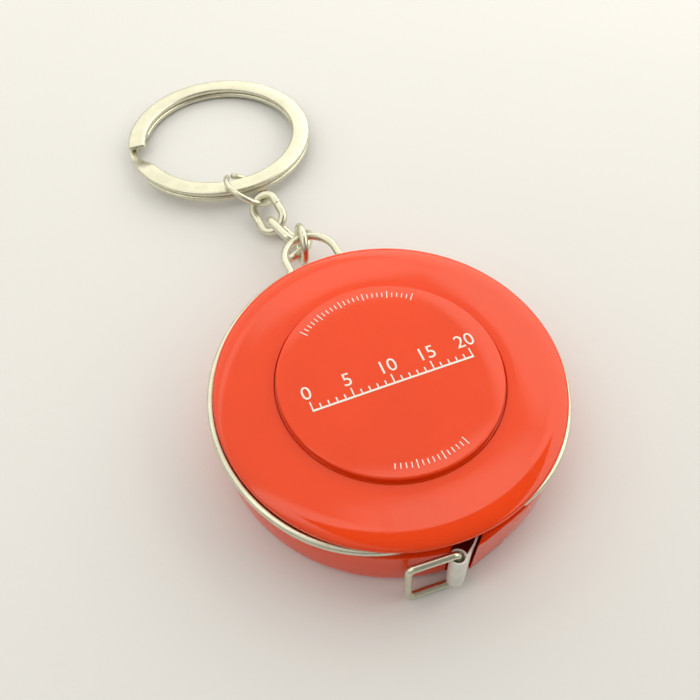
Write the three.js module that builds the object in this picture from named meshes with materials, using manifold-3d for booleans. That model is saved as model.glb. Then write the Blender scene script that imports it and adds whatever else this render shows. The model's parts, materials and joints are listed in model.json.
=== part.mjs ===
// A pocket tape measure on a key ring: a round push-button case with a spring-wire hoop round it,
// a 1.5 m tape on a spring-driven reel, and a short chain with a split key ring.
// Lengths are in millimetres and angles in degrees. The case stands on z = 0 with its axis on +Z,
// the tape's mouth is at the front (-Y) and the hoop's bail at the back (+Y).
// A bearing is an angle seen from above, clockwise from +Y.

import * as THREE from 'three';
import { mergeVertices } from 'three/addons/utils/BufferGeometryUtils.js';
import Module from 'manifold-3d';

const wasm = await Module();
wasm.setup();

// Driving dimensions

const CLEAR = 0.3;            // gap between pieces that touch or run beside each other
const OVERRUN = 1;            // how far a cut runs past what it cuts

const CASE_R = 25;            // both shells
const SHELL_WALL = 1.1;
const FLOOR = 1.1;
const BASE_ROUND = 1.6;
const LOWER_TOP_Z = 8.35;     // upper edge of the bottom shell
const RING_Z = 11.45;         // flat face of the cover, round the button
const COVER_WALL = 1;
const SHOULDER_W = 3.2;       // rounded shoulder of the cover, across
const SHOULDER_LIP = 0.45;    // upright edge below the shoulder
const SKIRT_WALL = 0.8;       // ring on the cover that seats inside the bottom shell
const SKIRT_DEPTH = 1.2;

const HOOP_WIRE = 1.25;
const HOOP_PLAY = 0.2;        // above and below the wire in its groove
const HOOP_STAND = 0.1;       // its centre line, outside the case's side
const HOOP_SHIFT = 0.15;      // the loose hoop lies off centre
const BAIL_HALF = 4.2;        // half the bail's width, to the wire's centres
const BAIL_STAND = 2.24;      // from the case's side to the centre of the bail's bow
const BAIL_FOOT_R = 1.3;

const BUTTON_R = 15.95;
const BUTTON_RISE = 0.95;
const BUTTON_WALL = 1.1;
const BUTTON_EDGE = 0.25;

const TAPE_LENGTH = 1500;
const TAPE_W = 6.7;
const TAPE_T = 0.28;
const TAPE_LIFT = 0.2;        // tape above the case's floor

const DRUM_WALL = 1;
const FLANGE_T = 0.55;
const ROLL_ROOM = 4;          // from the roll of tape to the cover's skirt

const MOUTH_BEARING = 181.6;  // where the tape crosses the case's outside
const SPOUT_BEARING = 168;    // where the case's side turns into the straight spout
const HOOK_WIRE = 1.05;
const HOOK_LENGTH = 7.7;      // pull ring, outside
const HOOK_HEIGHT = 8.9;
const HOOK_CORNER = 1.3;
const HOOK_TURN = 7;          // the pull ring lies along the case's side
const HOOK_LEAN = 6;          // its foot stands out from the case
const LOOP_R = 1;             // tape's loop round the pull ring, to the middle of the tape
const LOOP_REACH = 2.65;      // from the mouth to the loop, along the tape

const LINK_WIRE = 1.4;        // curb links
const LINK_LENGTH = 9.3;
const LINK_WIDTH = 6.2;
const BAIL_RING_WIRE = 1.2;   // small ring on the bail
const BAIL_RING_R = 2.95;     // to the wire's centre
const KEY_JUMP_WIRE = 0.9;    // thin ring on the key ring
const KEY_JUMP_R = 4.4;
const KEY_JUMP_GAP = 24;
const KEY_JUMP_OPEN = 101;    // direction of its opening, in its own plane

const KEY_RING_R = 17.5;
const KEY_RING_W = 3;
const KEY_RING_T = 1.05;      // one turn of its flat wire
const KEY_RING_PLAY = 0.1;    // between its two turns
const KEY_RING_EDGE = 0.3;
const KEY_RING_LIFT = 1.7;    // its near side hangs in the thin ring
const KEY_RING_END = 168;     // direction of the upper turn's end
const KEY_RING_SHARES = [-0.1, 0.795];  // its centre from the thin ring's foot, in its radius
const BAIL_BOW_SHARE = 0.107; // where the small ring hangs on the bail's bow

// Materials

const finish = (color, roughness, metalness) =>
  new THREE.MeshStandardMaterial({ color, roughness, metalness });

const redGloss = finish(0xe8401c, 0.22, 0);
const darkPlastic = finish(0x3a3b3d, 0.5, 0);
const whitePlastic = finish(0xe9e6dd, 0.45, 0);
const nickel = finish(0xe6e0cf, 0.3, 1);
const springSteel = finish(0x8f9296, 0.35, 1);
const rubber = finish(0x26241f, 0.85, 0);
const tapeWhite = finish(0xf3f0e6, 0.55, 0);

// Helpers

const rad = THREE.MathUtils.degToRad;
const vec2 = (x, y) => new THREE.Vector2(x, y);

function atBearing(radius, bearing) {
  return vec2(radius * Math.sin(rad(bearing)), radius * Math.cos(rad(bearing)));
}

// Points of a round in a profile, from one angle to another about a centre.
function round(x, y, radius, from, to, steps) {
  return Array.from({ length: steps + 1 }, (unused, i) => {
    const angle = rad(from + (to - from) * i / steps);
    return vec2(x + radius * Math.cos(angle), y + radius * Math.sin(angle));
  });
}

// A closed geometry as a solid, its faces turned outwards.
function solidOf(geometry) {
  const bare = new THREE.BufferGeometry();
  bare.setAttribute('position', geometry.getAttribute('position'));
  bare.setIndex(geometry.getIndex());
  const merged = mergeVertices(bare, 1e-4);
  const positions = merged.getAttribute('position').array;
  const index = Array.from(merged.getIndex().array);
  const faces = [];
  let volume = 0;
  for (let i = 0; i < index.length; i += 3) {
    const [a, b, c] = index.slice(i, i + 3);
    if (a === b || b === c || c === a) continue;
    faces.push([a, b, c]);
    const [p, q, r] = [a, b, c].map((v) => new THREE.Vector3().fromArray(positions, 3 * v));
    volume += p.dot(q.cross(r));
  }
  const outward = volume < 0 ? faces.map(([a, b, c]) => [a, c, b]) : faces;
  return new wasm.Manifold(new wasm.Mesh({
    numProp: 3,
    vertProperties: new Float32Array(positions),
    triVerts: new Uint32Array(outward.flat()),
  }));
}

function geometryOf(solid) {
  const mesh = solid.getMesh();
  const geometry = new THREE.BufferGeometry();
  geometry.setAttribute('position', new THREE.BufferAttribute(new Float32Array(mesh.vertProperties), 3));
  geometry.setIndex(new THREE.BufferAttribute(new Uint32Array(mesh.triVerts), 1));
  geometry.computeVertexNormals();
  return geometry;
}

// A profile of (radius, height) points turned about Z.
function revolve(profile, segments) {
  const ends = profile[0].x === 0 ? profile : [...profile, profile[0].clone()];
  return solidOf(new THREE.LatheGeometry(ends, segments).rotateX(Math.PI / 2));
}

// An outline in plan, raised between two heights.
function prism(outline, low, high) {
  const shape = outline.isShape ? outline : new THREE.Shape(outline);
  const geometry = new THREE.ExtrudeGeometry(shape, { depth: high - low, bevelEnabled: false });
  return solidOf(geometry.translate(0, 0, low));
}

function disc(radius, low, high, segments) {
  return revolve([vec2(0, low), vec2(radius, low), vec2(radius, high), vec2(0, high)], segments);
}

// A block whose corners are given by its ranges in x, y and z.
function block(x, y, z) {
  const box = new THREE.BoxGeometry(x[1] - x[0], y[1] - y[0], z[1] - z[0]);
  return solidOf(box.translate((x[0] + x[1]) / 2, (y[0] + y[1]) / 2, (z[0] + z[1]) / 2));
}

// A curve from a function of its length's share, from 0 to 1.
class Route extends THREE.Curve {
  constructor(place) {
    super();
    this.place = place;
    this.arcLengthDivisions = 400;
  }

  getPoint(t, target = new THREE.Vector3()) {
    return target.copy(this.place(t));
  }
}

// A route in plan, carried at one height.
function level(path, z) {
  return new Route((t) => {
    const point = path.getPoint(t);
    return new THREE.Vector3(point.x, point.y, z);
  });
}

function wireShape(diameter, sides) {
  return new THREE.Shape(round(0, 0, diameter / 2, 0, 360 - 360 / sides, sides - 1));
}

// A strip's section: its width lies across the plan, its thickness in the plan.
function stripShape(width, thickness) {
  const [w, t] = [width / 2, thickness / 2];
  return new THREE.Shape([vec2(-w, -t), vec2(w, -t), vec2(w, t), vec2(-w, t)]);
}

function sweep(shape, route, steps) {
  return solidOf(new THREE.ExtrudeGeometry(shape, { steps, extrudePath: route }));
}

// Rings of points joined into a closed skin, with flat ends.
function loft(rows) {
  const sides = rows[0].length;
  const index = [];
  for (let i = 0; i < rows.length - 1; i += 1) {
    for (let j = 0; j < sides; j += 1) {
      const a = i * sides + j;
      const b = i * sides + (j + 1) % sides;
      index.push(a, b, b + sides, a, b + sides, a + sides);
    }
  }
  const last = (rows.length - 1) * sides;
  for (let j = 1; j < sides - 1; j += 1) index.push(0, j + 1, j, last, last + j, last + j + 1);
  const geometry = new THREE.BufferGeometry();
  geometry.setAttribute('position', new THREE.Float32BufferAttribute(rows.flat().flatMap((p) => p.toArray()), 3));
  geometry.setIndex(index);
  return geometry;
}

// A strip on edge along points in plan, at one height.
function strip(points, width, thickness, z) {
  const rows = points.map((point, i) => {
    const before = points[Math.max(0, i - 1)];
    const after = points[Math.min(points.length - 1, i + 1)];
    const way = after.clone().sub(before).normalize();
    const side = vec2(-way.y, way.x).multiplyScalar(thickness / 2);
    const [left, right] = [point.clone().add(side), point.clone().sub(side)];
    const [low, high] = [z - width / 2, z + width / 2];
    return [
      new THREE.Vector3(left.x, left.y, low), new THREE.Vector3(right.x, right.y, low),
      new THREE.Vector3(right.x, right.y, high), new THREE.Vector3(left.x, left.y, high),
    ];
  });
  return solidOf(loft(rows));
}

const moved = (solid, x, y, z) => solid.translate([x, y, z]);
const turned = (solid, x, y, z) => solid.rotate([x, y, z]);

const assembly = new THREE.Group();

function add(name, solid, material, parent = assembly) {
  const mesh = new THREE.Mesh(geometryOf(solid), material);
  mesh.name = name;
  parent.add(mesh);
  return mesh;
}

function addGroup(x, y, z) {
  const group = new THREE.Group();
  group.position.set(x, y, z);
  assembly.add(group);
  return group;
}

// Heights and radii that follow from the driving dimensions

const CAVITY_R = CASE_R - SHELL_WALL;
const HOOP_R = CASE_R + HOOP_STAND;
const BAIL_REACH = CASE_R + BAIL_STAND;
const GROOVE = HOOP_WIRE + 2 * HOOP_PLAY;
const RIM_Z = LOWER_TOP_Z + GROOVE;
const HOOP_Z = LOWER_TOP_Z + GROOVE / 2;
const RING_UNDER_Z = RING_Z - COVER_WALL;
const SKIRT_PLAY = 0.5;
const SKIRT_R = CAVITY_R - SKIRT_PLAY;
const SKIRT_IN_R = SKIRT_R - SKIRT_WALL;
const SKIRT_Z = LOWER_TOP_Z - SKIRT_DEPTH;
const BUTTON_HOLE_R = BUTTON_R + CLEAR;
const BUTTON_Z = RING_Z + BUTTON_RISE;
const TAPE_Z = FLOOR + TAPE_LIFT;
const TAPE_MID_Z = TAPE_Z + TAPE_W / 2;
const TAPE_TOP_Z = TAPE_Z + TAPE_W;
const FLANGE_Z = TAPE_TOP_Z + CLEAR / 2;
const FLANGE_TOP_Z = FLANGE_Z + FLANGE_T;
const ROLL_R = SKIRT_IN_R - ROLL_ROOM;
const ROLL_IN_R = Math.sqrt(ROLL_R ** 2 - TAPE_LENGTH * TAPE_T / Math.PI);
const DRUM_R = ROLL_IN_R - CLEAR;
const LEAD_R = ROLL_R + CLEAR + TAPE_T / 2;

// The tape leaves the roll on a straight line that touches it and crosses the case at the mouth.
const TANGENT_BEARING = MOUTH_BEARING - THREE.MathUtils.radToDeg(Math.acos(LEAD_R / CASE_R));
const TAPE_BEARING = TANGENT_BEARING + 90;
const tapeWay = atBearing(1, TAPE_BEARING);
const tapeSide = atBearing(1, TAPE_BEARING + 90);   // towards the case's left, seen along the tape
const mouth = atBearing(CASE_R, MOUTH_BEARING);
const alongTape = (distance, side = 0) =>
  mouth.clone().addScaledVector(tapeWay, distance).addScaledVector(tapeSide, side);

// Bottom shell

const SHELL_STEPS = 66;
const FLOOR_ROUND = 1.2;
const PIN_R = 1.2;            // pin on the floor that holds the arbor
const PIN_HEIGHT = 4.6;
const SEAT_R = 3.5;           // raised ring round the arbor's foot
const SEAT_WALL = 0.9;
const SEAT_RISE = 0.5;
const SLOT_LIP = 0.55;        // clear of the tape on the spout's side
const SLOT_BACK = 2 * LOOP_R + TAPE_T / 2 + CLEAR;  // room for the loop on the other side
const SPOUT_FOOT = 0.5;       // height of the spout's underside

const ARBOR_R = 3.2;
const ARBOR_BORE_R = PIN_R + CLEAR;
const ARBOR_Z = FLOOR + CLEAR;

function slotCut(low, high) {
  const inside = -CASE_R * 0.24;
  const outside = CASE_R * 0.2;
  return prism([
    alongTape(inside, -SLOT_LIP), alongTape(outside, -SLOT_LIP),
    alongTape(outside, SLOT_BACK), alongTape(inside, SLOT_BACK),
  ], low, high);
}

function bottomShell() {
  const corner = CASE_R - BASE_ROUND;
  const innerCorner = CAVITY_R - FLOOR_ROUND;
  const body = revolve([
    vec2(0, 0),
    ...round(corner, BASE_ROUND, BASE_ROUND, -90, 0, 3),
    vec2(CASE_R, LOWER_TOP_Z),
    vec2(0, LOWER_TOP_Z),
  ], SHELL_STEPS);
  const cavity = revolve([
    vec2(0, FLOOR),
    ...round(innerCorner, FLOOR + FLOOR_ROUND, FLOOR_ROUND, -90, 0, 2),
    vec2(CAVITY_R, LOWER_TOP_Z + OVERRUN),
    vec2(0, LOWER_TOP_Z + OVERRUN),
  ], SHELL_STEPS);

  // The spout is the corner between the case's side, the straight line that leaves it, and the tape.
  const start = atBearing(CASE_R, SPOUT_BEARING);
  const straight = atBearing(1, SPOUT_BEARING + 90);
  const reach = CASE_R * Math.tan(rad(MOUTH_BEARING - SPOUT_BEARING));
  const nose = start.clone().addScaledVector(straight, reach);
  const spout = prism([
    atBearing(CAVITY_R - SHELL_WALL, SPOUT_BEARING),
    start,
    nose,
    atBearing(CAVITY_R - SHELL_WALL, MOUTH_BEARING),
  ], SPOUT_FOOT, LOWER_TOP_Z);

  const seat = revolve([
    vec2(SEAT_R, FLOOR - FLOOR / 2),
    vec2(SEAT_R + SEAT_WALL, FLOOR - FLOOR / 2),
    vec2(SEAT_R + SEAT_WALL, FLOOR + SEAT_RISE),
    vec2(SEAT_R, FLOOR + SEAT_RISE),
  ], 32);
  const pin = disc(PIN_R, FLOOR - FLOOR / 2, FLOOR + PIN_HEIGHT, 20);
  return body.add(spout).subtract(cavity).subtract(slotCut(FLOOR, LOWER_TOP_Z + OVERRUN)).add(seat).add(pin);
}

// Cover

const HOLE_EDGE = 0.2;
const CROWN = 0.12;           // fall of the cover's face from the button to the shoulder

function topShell() {
  const shoulderR = CASE_R - SHOULDER_W;
  const shoulderZ = RING_Z - CROWN;
  const drop = shoulderZ - RIM_Z - SHOULDER_LIP;
  const shoulder = round(0, 0, 1, 90, 0, 5).map((p) => vec2(
    shoulderR + SHOULDER_W * p.x,
    RIM_Z + SHOULDER_LIP + drop * p.y,
  ));
  const cover = revolve([
    vec2(BUTTON_HOLE_R, RING_UNDER_Z),
    vec2(BUTTON_HOLE_R, RING_Z - HOLE_EDGE),
    vec2(BUTTON_HOLE_R + HOLE_EDGE, RING_Z),
    ...shoulder,
    vec2(CASE_R, RIM_Z),
    vec2(SKIRT_R, RIM_Z),
    vec2(SKIRT_R, SKIRT_Z),
    vec2(SKIRT_IN_R, SKIRT_Z),
    vec2(SKIRT_IN_R, RING_UNDER_Z),
  ], SHELL_STEPS);
  return cover.subtract(slotCut(SKIRT_Z - OVERRUN, LOWER_TOP_Z));
}

// Hoop wire: round the groove from one side of the mouth to the other, with the bail's bow at the back

const HOOP_LEFT_BEARING = 203;
const HOOP_RIGHT_BEARING = 165;
const HOOP_END_R = 15;        // the ends turn in on a tighter bend
const HOOP_LEFT_END = 12;     // angles of the tighter bends
const HOOP_RIGHT_END = 7;

function hoopWire() {
  const footX = BAIL_HALF + BAIL_FOOT_R;
  const footY = Math.sqrt((HOOP_R + BAIL_FOOT_R) ** 2 - footX ** 2);
  const footAngle = Math.atan2(footY, footX);
  const left = rad(90 - HOOP_LEFT_BEARING - HOOP_LEFT_END);
  const right = rad(90 - HOOP_RIGHT_BEARING + HOOP_RIGHT_END);
  const tight = HOOP_R - HOOP_END_R;
  const path = new THREE.Path();
  path.absarc(tight * Math.cos(left), tight * Math.sin(left), HOOP_END_R,
    left + rad(HOOP_LEFT_END * HOOP_R / HOOP_END_R), left, true);
  path.absarc(0, 0, HOOP_R, left, Math.PI - footAngle - 2 * Math.PI, true);
  path.absarc(-footX, footY, BAIL_FOOT_R, -footAngle, 0, false);
  path.lineTo(-BAIL_HALF, BAIL_REACH);
  path.absarc(0, BAIL_REACH, BAIL_HALF, Math.PI, 0, true);
  path.lineTo(BAIL_HALF, footY);
  path.absarc(footX, footY, BAIL_FOOT_R, Math.PI, Math.PI + footAngle, false);
  path.absarc(0, 0, HOOP_R, footAngle, right, true);
  path.absarc(tight * Math.cos(right), tight * Math.sin(right), HOOP_END_R,
    right, right - rad(HOOP_RIGHT_END * HOOP_R / HOOP_END_R), true);
  const wire = sweep(wireShape(HOOP_WIRE, 8), level(path, HOOP_Z), 96);
  return moved(wire, -HOOP_SHIFT, HOOP_SHIFT / 2, 0);
}

// Push button with its brake spider

const PEG_R = 0.7;
const PEG_COUNT = 3;
const PEG_BEARING = 60;
const BUTTON_SKIRT_WALL = 1.4;
const SPIDER_T = 0.7;
const SPIDER_RIM = 2.1;
const SPIDER_IN_R = BUTTON_R - 1.3 * SPIDER_RIM;
const SPIDER_R = BUTTON_R + 0.7 * SPIDER_RIM;
const SPIDER_Z = RING_UNDER_Z - CLEAR - SPIDER_T;
const ARM_HALF = 2.4;
const LEG_T = 0.8;
const LEG_R = SKIRT_IN_R - CLEAR;
const FLANGE_R = LEG_R - LEG_T - 2 * CLEAR;
const PAD_REACH = 1.2;
const PAD_IN_R = FLANGE_R - PAD_REACH;
const PAD_T = 0.7;
const PAD_TOP_Z = FLANGE_Z - CLEAR;
const LEDGE_T = 0.5;
const LEDGE_TOP_Z = PAD_TOP_Z - PAD_T - CLEAR;
const SPRING_SEAT_R = 4.7;
const SPRING_SEAT_WALL = 0.6;
const SPRING_SEAT_DROP = 0.5;
const PEG_HALF_WALL = BUTTON_SKIRT_WALL / 2;

const pegPlaces = Array.from({ length: PEG_COUNT }, (unused, i) =>
  atBearing(BUTTON_R - PEG_HALF_WALL, PEG_BEARING + 360 * i / PEG_COUNT));

function pushButton() {
  const underZ = BUTTON_Z - BUTTON_WALL;
  const inR = BUTTON_R - BUTTON_SKIRT_WALL;
  const skirtZ = SPIDER_Z + SPIDER_T + CLEAR;
  const cap = revolve([
    vec2(0, BUTTON_Z),
    vec2(BUTTON_R / 2, BUTTON_Z - BUTTON_EDGE / 8),
    ...round(BUTTON_R - BUTTON_EDGE, BUTTON_Z - 1.5 * BUTTON_EDGE, BUTTON_EDGE, 90, 0, 3),
    vec2(BUTTON_R, skirtZ),
    vec2(inR, skirtZ),
    vec2(inR, underZ),
    vec2(0, underZ),
  ], 56);
  const seat = revolve([
    vec2(SPRING_SEAT_R, underZ + BUTTON_WALL / 2),
    vec2(SPRING_SEAT_R, underZ - SPRING_SEAT_DROP),
    vec2(SPRING_SEAT_R + SPRING_SEAT_WALL, underZ - SPRING_SEAT_DROP),
    vec2(SPRING_SEAT_R + SPRING_SEAT_WALL, underZ + BUTTON_WALL / 2),
  ], 20);
  const peg = disc(PEG_R, SPIDER_Z, skirtZ + OVERRUN / 2, 10);
  return pegPlaces.reduce((body, place) => body.add(moved(peg, place.x, place.y, 0)), cap.add(seat));
}

// Three arms reach out past the reel's flange and turn down and in, under its rim.
function brakeSpider() {
  const top = SPIDER_Z + SPIDER_T;
  const plate = revolve([
    vec2(SPIDER_IN_R, SPIDER_Z), vec2(SPIDER_R, SPIDER_Z), vec2(SPIDER_R, top), vec2(SPIDER_IN_R, top),
  ], 48);
  const band = (inner, outer, low, high) => revolve([
    vec2(inner, low), vec2(outer, low), vec2(outer, high), vec2(inner, high),
  ], 48);
  const legIn = LEG_R - LEG_T;
  const claws = band(SPIDER_R - OVERRUN, LEG_R, SPIDER_Z, top)
    .add(band(legIn, LEG_R, LEDGE_TOP_Z - LEDGE_T, top))
    .add(band(PAD_IN_R, LEG_R, LEDGE_TOP_Z - LEDGE_T, LEDGE_TOP_Z));
  const window = block([-ARM_HALF, ARM_HALF], [SPIDER_IN_R, CASE_R], [0, RING_Z]);
  const claw = claws.intersect(window);
  let spider = plate;
  for (let i = 0; i < PEG_COUNT; i += 1) {
    spider = spider.add(turned(claw, 0, 0, -360 * i / PEG_COUNT));
  }
  const hole = disc(PEG_R + CLEAR, SPIDER_Z - OVERRUN, top + OVERRUN, 10);
  return pegPlaces.reduce((body, place) => body.subtract(moved(hole, place.x, place.y, 0)), spider);
}

function brakePad() {
  const outR = LEG_R - LEG_T - CLEAR;
  const low = PAD_TOP_Z - PAD_T;
  const ring = revolve([
    vec2(PAD_IN_R, low), vec2(outR, low), vec2(outR, PAD_TOP_Z), vec2(PAD_IN_R, PAD_TOP_Z),
  ], 72);
  return ring.intersect(block([-ARM_HALF, ARM_HALF], [0, CASE_R], [low - OVERRUN, RING_Z]));
}

// Arbor, main spring and reel

const SPINDLE_R = 2;
const SPINDLE_TOP_Z = 9;
const ARBOR_TOP_Z = 6.9;
const ARBOR_BORE_TOP_Z = FLOOR + PIN_HEIGHT + CLEAR;
const ARBOR_SLOT = 1.1;
const MAIN_SPRING_W = 4.8;
const MAIN_SPRING_T = 0.25;
const MAIN_SPRING_TURNS = 6;
const MAIN_SPRING_END_R = DRUM_R - DRUM_WALL - 2 * CLEAR;
const MAIN_SPRING_Z = TAPE_MID_Z - CLEAR;
const DRUM_WINDOW = 3.2;      // slot in the drum for the spring's hooked end
const HUB_R = 3.9;
const HUB_Z = ARBOR_TOP_Z + CLEAR;
const WEB_Z = 7.6;
const WEB_T = 0.8;
const WEB_HOLES = 6;
const WEB_HOLE_R = 2.3;
const WEB_HOLE_PLACE_R = 8.7;

function springArbor() {
  const sleeve = revolve([
    vec2(0, SPINDLE_TOP_Z),
    vec2(SPINDLE_R, SPINDLE_TOP_Z),
    vec2(SPINDLE_R, ARBOR_TOP_Z),
    vec2(ARBOR_R, ARBOR_TOP_Z),
    vec2(ARBOR_R, ARBOR_Z),
    vec2(ARBOR_BORE_R, ARBOR_Z),
    vec2(ARBOR_BORE_R, ARBOR_BORE_TOP_Z),
    vec2(0, ARBOR_BORE_TOP_Z),
  ], 20);
  const slot = block([-ARBOR_SLOT / 2, ARBOR_SLOT / 2], [ARBOR_BORE_R / 2, ARBOR_R + OVERRUN], [ARBOR_Z - OVERRUN, ARBOR_TOP_Z]);
  return sleeve.subtract(slot);
}

// A flat spiral: its inner end is bent into the arbor's slot, its outer end through the drum's window.
function mainSpring() {
  const innerR = ARBOR_R + CLEAR + MAIN_SPRING_T;
  const perTurn = 16;
  const steps = MAIN_SPRING_TURNS * perTurn;
  const spiral = Array.from({ length: steps }, (unused, i) => (
    atBearing(innerR + (MAIN_SPRING_END_R - innerR) * i / steps, 360 * i / perTurn)
  ));
  return strip([
    vec2(0, ARBOR_BORE_R + CLEAR), vec2(0, ARBOR_R), ...spiral, vec2(0, DRUM_R - MAIN_SPRING_T),
  ], MAIN_SPRING_W, MAIN_SPRING_T, MAIN_SPRING_Z);
}

function reel() {
  const drumIn = DRUM_R - DRUM_WALL;
  const webTop = WEB_Z + WEB_T;
  const body = revolve([
    vec2(SPINDLE_R + CLEAR, HUB_Z),
    vec2(HUB_R, HUB_Z),
    vec2(HUB_R, WEB_Z),
    vec2(drumIn, WEB_Z),
    vec2(drumIn, TAPE_Z),
    vec2(DRUM_R, TAPE_Z),
    vec2(DRUM_R, FLANGE_Z),
    vec2(FLANGE_R, FLANGE_Z),
    vec2(FLANGE_R, FLANGE_TOP_Z),
    vec2(drumIn + CLEAR, FLANGE_TOP_Z),
    vec2(drumIn, webTop),
    vec2(HUB_R, webTop),
    vec2(HUB_R, FLANGE_TOP_Z),
    vec2(SPINDLE_R + CLEAR, FLANGE_TOP_Z),
  ], 44);
  const hole = disc(WEB_HOLE_R, WEB_Z - OVERRUN, webTop + OVERRUN, 14);
  const high = MAIN_SPRING_W / 2 + CLEAR;
  const window = block([-DRUM_WINDOW, DRUM_WINDOW / 3], [drumIn - OVERRUN, DRUM_R + OVERRUN], [MAIN_SPRING_Z - high, MAIN_SPRING_Z + high]);
  let cut = body.subtract(window);
  for (let i = 0; i < WEB_HOLES; i += 1) {
    const place = atBearing(WEB_HOLE_PLACE_R, 360 * i / WEB_HOLES);
    cut = cut.subtract(moved(hole, place.x, place.y, 0));
  }
  return cut;
}

const RETURN_SPRING_WIRE = 0.44;
const RETURN_SPRING_IN_R = 1.6;
const RETURN_SPRING_OUT_R = 4.1;
const RETURN_SPRING_TURNS = 3;

function buttonSpring() {
  const low = SPINDLE_TOP_Z + RETURN_SPRING_WIRE / 2 + CLEAR / 2;
  const high = BUTTON_Z - BUTTON_WALL - RETURN_SPRING_WIRE / 2 - CLEAR / 2;
  const route = new Route((t) => {
    const angle = 2 * Math.PI * RETURN_SPRING_TURNS * t;
    const radius = RETURN_SPRING_IN_R + (RETURN_SPRING_OUT_R - RETURN_SPRING_IN_R) * t;
    return new THREE.Vector3(radius * Math.cos(angle), radius * Math.sin(angle), low + (high - low) * t);
  });
  return sweep(wireShape(RETURN_SPRING_WIRE, 5), route, 14 * RETURN_SPRING_TURNS);
}

// Tape: the wound turns, the last turn and its way to the mouth, and the loop at its end

const LEAD_WRAP = 300;        // how far the last turn is followed round the roll
const LEAD_END = 0.6;         // past the case's side

function tapeRoll() {
  return revolve([
    vec2(ROLL_IN_R, TAPE_Z), vec2(ROLL_R, TAPE_Z), vec2(ROLL_R, TAPE_TOP_Z), vec2(ROLL_IN_R, TAPE_TOP_Z),
  ], 56);
}

function tapeLead() {
  const touch = rad(90 - TANGENT_BEARING);
  const path = new THREE.Path();
  path.absarc(0, 0, LEAD_R, touch + rad(LEAD_WRAP), touch, true);
  const end = alongTape(LEAD_END);
  path.lineTo(end.x, end.y);
  return sweep(stripShape(TAPE_W, TAPE_T), level(path, TAPE_MID_Z), 48);
}

// The pull ring and the loop are built upright about the ring's bar, then leant and set in place.
const loopPlace = alongTape(LOOP_REACH, LOOP_R);
const HOOK_BEARING = 270 + HOOK_TURN;
const HOOK_Z = TAPE_MID_Z;

function tapeEnd() {
  const start = tapeWay.clone().multiplyScalar(LEAD_END + CLEAR - LOOP_REACH).addScaledVector(tapeSide, -LOOP_R);
  const side = Math.atan2(-tapeSide.y, -tapeSide.x);
  const closing = rad(320);
  const path = new THREE.Path();
  path.moveTo(start.x, start.y);
  path.absarc(0, 0, LOOP_R, side, side - closing, true);
  return sweep(stripShape(TAPE_W, TAPE_T), level(path, 0), 24);
}

function hookRing() {
  const half = (HOOK_HEIGHT - HOOK_WIRE) / 2;
  const length = HOOK_LENGTH - HOOK_WIRE;
  const corner = HOOK_CORNER - HOOK_WIRE / 2;
  const frame = new THREE.Path();
  frame.absarc(length - corner, half - corner, corner, Math.PI / 2, 0, true);
  frame.absarc(length - corner, corner - half, corner, 0, -Math.PI / 2, true);
  frame.absarc(corner, corner - half, corner, -Math.PI / 2, -Math.PI, true);
  frame.absarc(corner, half - corner, corner, Math.PI, Math.PI / 2, true);
  frame.closePath();
  const along = atBearing(1, HOOK_BEARING);
  const route = new Route((t) => {
    const point = frame.getPoint(t);
    return new THREE.Vector3(point.x * along.x, point.x * along.y, point.y);
  });
  return solidOf(new THREE.TubeGeometry(route, 32, HOOK_WIRE / 2, 8, true));
}

// Chain

function curbLink() {
  const bow = (LINK_WIDTH - LINK_WIRE) / 2;
  const straight = (LINK_LENGTH - LINK_WIDTH) / 2;
  const oval = new THREE.Path();
  oval.absarc(0, straight, bow, 0, Math.PI, false);
  oval.absarc(0, -straight, bow, Math.PI, 2 * Math.PI, false);
  oval.closePath();
  return solidOf(new THREE.TubeGeometry(level(oval, 0), 28, LINK_WIRE / 2, 8, true));
}

function bailRing() {
  return solidOf(new THREE.TorusGeometry(BAIL_RING_R, BAIL_RING_WIRE / 2, 8, 24));
}

// The thin ring is open a little where its ends meet.
function keyJumpRing() {
  const path = new THREE.Path();
  path.absarc(0, 0, KEY_JUMP_R, rad(KEY_JUMP_GAP / 2), rad(360 - KEY_JUMP_GAP / 2), false);
  return turned(sweep(wireShape(KEY_JUMP_WIRE, 7), level(path, 0), 28), 0, 0, KEY_JUMP_OPEN);
}

// A split ring of two turns of flat wire: each turn ends where the wire steps from one level to the other.
const KEY_STEP = 34;
const KEY_GAP = 3;
const KEY_STEP_WIDTH_SHARE = 0.62;

function keyRing() {
  const turn = 360 - KEY_STEP - KEY_GAP;
  const total = 2 * turn + KEY_STEP;
  const rise = KEY_RING_T + KEY_RING_PLAY;
  const middleR = KEY_RING_R - KEY_RING_W / 2;
  const steps = 66;
  const rows = Array.from({ length: steps + 1 }, (unused, i) => {
    const angle = total * i / steps;
    const share = THREE.MathUtils.smoothstep(angle, turn, turn + KEY_STEP);
    const z = (KEY_RING_T + rise * 2 * (1 - share)) / 2;
    const narrow = Math.sin(Math.PI * share) * (1 - KEY_STEP_WIDTH_SHARE);
    const half = KEY_RING_W * (1 - narrow) / 2;
    const [high, edge] = [KEY_RING_T / 2, KEY_RING_EDGE];
    const section = [
      vec2(half - edge, -high), vec2(half, edge - high), vec2(half, high - edge), vec2(half - edge, high),
      vec2(edge - half, high), vec2(-half, high - edge), vec2(-half, edge - high), vec2(edge - half, -high),
    ];
    return section.map((p) => new THREE.Vector3(
      (middleR + p.x) * Math.cos(rad(angle)), -(middleR + p.x) * Math.sin(rad(angle)), z + p.y,
    ));
  });
  return solidOf(loft(rows));
}

// Assembly

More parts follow.
